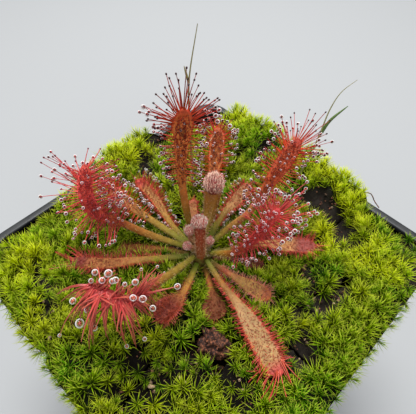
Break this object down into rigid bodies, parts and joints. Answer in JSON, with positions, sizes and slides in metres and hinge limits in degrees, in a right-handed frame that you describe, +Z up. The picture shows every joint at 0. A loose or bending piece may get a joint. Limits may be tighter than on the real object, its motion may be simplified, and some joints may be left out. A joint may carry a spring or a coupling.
{
  "type": "sundew plant in a square nursery pot",
  "caption": "Red-leaved sundew with dewy tentacles, growing in star moss in a square black nursery pot.",
  "frame": {"origin": "middle of the pot's underside, where it stands", "axes": "+Z up, +X to the pot's right side and +Y to its back, seen with the uncovered rim at the left and back"},
  "size_m": [0.071, 0.0731, 0.108],
  "materials": {
    "black_plastic": "moulded black polypropylene with a dull grey sheen on the rim",
    "potting_mix": "dark, damp peat and bark mix with pale grains of grit",
    "green_stem": "olive-green living stem, softly ridged",
    "dewy_leaf": "red living leaf with crimson tentacles, each with a clear sticky drop",
    "old_leaf": "tan-orange living leaf with a pink-red margin and short dry tentacles",
    "withered_leaf": "dark brown withered leaf, crumpled and dull",
    "young_leaf": "coiled young leaf in pinkish white fur over red, on a green-brown stalk",
    "moss": "yellow-green star moss with fine pointed leaves, deep green between the tufts",
    "grass": "thin green grass, dried to straw at its tips",
    "bark": "rough dark brown bark",
    "dew": "clear sticky drop over a dark red gland"
  },
  "bodies": {
    "root": {"pot": "black_plastic", "soil": "potting_mix", "crown": "green_stem", "leaf_tall": "dewy_leaf", "leaf_back_tall": "dewy_leaf", "leaf_right_arched": "dewy_leaf", "leaf_front_arched": "dewy_leaf", "leaf_left_arched": "dewy_leaf", "leaf_back_broad": "dewy_leaf", "leaf_left_raised": "dewy_leaf", "leaf_left_coiled": "dewy_leaf", "leaf_back_short": "dewy_leaf", "leaf_right_long": "old_leaf", "leaf_front_low": "old_leaf", "leaf_back_low": "old_leaf", "leaf_right_low": "old_leaf", "leaf_front_folded": "old_leaf", "leaf_front_withered": "withered_leaf", "leaf_back_withered": "withered_leaf", "leaf_left_withered": "withered_leaf", "leaf_left_small": "old_leaf", "young_leaf_1": "young_leaf", "young_leaf_2": "young_leaf", "young_leaf_3": "young_leaf", "young_leaf_4": "young_leaf", "young_leaf_5": "young_leaf", "moss_left": "moss", "moss_left_front": "moss", "moss_left_inner": "moss", "moss_front_1": "moss", "moss_front_2": "moss", "moss_front_3": "moss", "moss_right_front": "moss", "moss_front_inner": "moss", "moss_right_1": "moss", "moss_right_inner": "moss", "moss_right_2": "moss", "moss_right_back_inner": "moss", "moss_right_back": "moss", "moss_back_1": "moss", "moss_back_2": "moss", "moss_left_back_inner": "moss", "moss_back_inner": "moss", "grass_right": "grass", "grass_back": "grass", "bark": "bark"}
  },
  "joints": []
}
